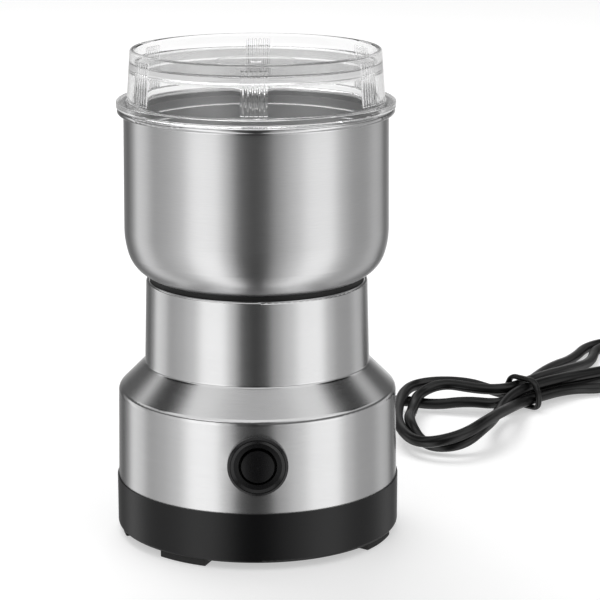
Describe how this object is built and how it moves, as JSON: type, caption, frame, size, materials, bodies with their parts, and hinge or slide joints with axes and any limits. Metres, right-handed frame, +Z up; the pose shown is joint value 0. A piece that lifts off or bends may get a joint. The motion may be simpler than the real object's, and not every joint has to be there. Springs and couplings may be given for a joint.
{
  "type": "electric spice grinder",
  "caption": "Small electric spice and coffee grinder: brushed steel body on a black base, steel bowl with a spinning blade, clear lift-off lid, push button and a tied mains cord.",
  "frame": {"origin": "on the floor, under the upright axis of the body", "axes": "+Z up along the axis, -Y to the front where the push button is, +X to the right of the object as seen from the front"},
  "size_m": [0.291, 0.3145, 0.175],
  "materials": {
    "base_plastic": "satin black moulded plastic",
    "foot_rubber": "matt black",
    "steel_screws": "bright zinc",
    "shell_steel": "satin stainless, brushed round the axis",
    "frame_plastic": "grey-black glass-filled plastic",
    "bowl_steel": "satin stainless, brushed round the axis",
    "seal_rubber": "matt black",
    "bracket_alloy": "die cast",
    "bush_bronze": "sintered bronze",
    "core_iron": "laminated iron, bare",
    "copper": "enamelled copper wire",
    "carbon": "pressed carbon",
    "spring_steel": "drawn wire",
    "shaft_steel": "ground steel",
    "fan_plastic": "natural nylon",
    "blade_steel": "polished stainless",
    "switch_plastic": "black, semi-gloss",
    "switch_case": "black phenolic",
    "terminal_brass": "brass strip",
    "gland_plastic": "satin black",
    "capacitor_case": "yellow film case",
    "cord_pvc": "semi-gloss black PVC",
    "pin_brass": "nickel-plated brass",
    "lid_clear": "clear moulded plastic"
  },
  "bodies": {
    "housing": {"base_cup": "base_plastic", "rubber_feet": "foot_rubber", "base_screws": "steel_screws", "bowl_studs": "steel_screws", "bowl_nuts": "steel_screws", "stator_screws": "steel_screws", "mount_screws": "steel_screws", "clamp_screws": "steel_screws", "outer_shell": "shell_steel", "inner_frame": "frame_plastic", "brush_holders": "frame_plastic", "bowl": "bowl_steel", "bowl_gasket": "seal_rubber", "shaft_seal": "seal_rubber", "switch_seal": "seal_rubber", "rubber_mounts": "seal_rubber", "motor_top_bracket": "bracket_alloy", "motor_bottom_bracket": "bracket_alloy", "upper_bush": "bush_bronze", "lower_bush": "bush_bronze", "stator_core": "core_iron", "field_coils": "copper", "carbon_brushes": "carbon", "brush_springs": "spring_steel", "button_spring": "spring_steel", "switch_bezel": "switch_plastic", "switch_ring_nut": "switch_plastic", "switch_body": "switch_case", "terminal_block": "switch_case", "switch_terminals": "terminal_brass", "cord_gland": "gland_plastic", "cord_clamp": "gland_plastic", "capacitor": "capacitor_case", "inner_leads": "cord_pvc", "cord_lead": "cord_pvc", "cord_hank": "cord_pvc", "cord_tail": "cord_pvc", "plug_body": "cord_pvc", "cord_tie": "cord_pvc", "plug_pins": "pin_brass"},
    "rotor": {"drive_shaft": "shaft_steel", "armature_core": "core_iron", "armature_winding": "copper", "commutator": "copper", "cooling_fan": "fan_plastic", "thrust_washers": "shaft_steel", "hub_sleeve": "blade_steel", "blade": "blade_steel", "blade_nut": "blade_steel"},
    "button": {"button_cap": "switch_plastic"},
    "lid": {"lid": "lid_clear"}
  },
  "joints": [
    {"name": "rotor_spin", "type": "hinge", "parent": "housing", "child": "rotor", "pos_m": [0, 0, 0], "axis": [0, 0, 1], "continuous": true},
    {"name": "button_press", "type": "slide", "parent": "housing", "child": "button", "axis": [0, 1, 0], "range_m": [0, 0.0025], "stiffness_N_per_m": 900, "deforming": ["button_spring"]},
    {"name": "lid_lift", "type": "slide", "parent": "housing", "child": "lid", "axis": [0, 0, 1], "range_m": [0, 0.06]}
  ]
}
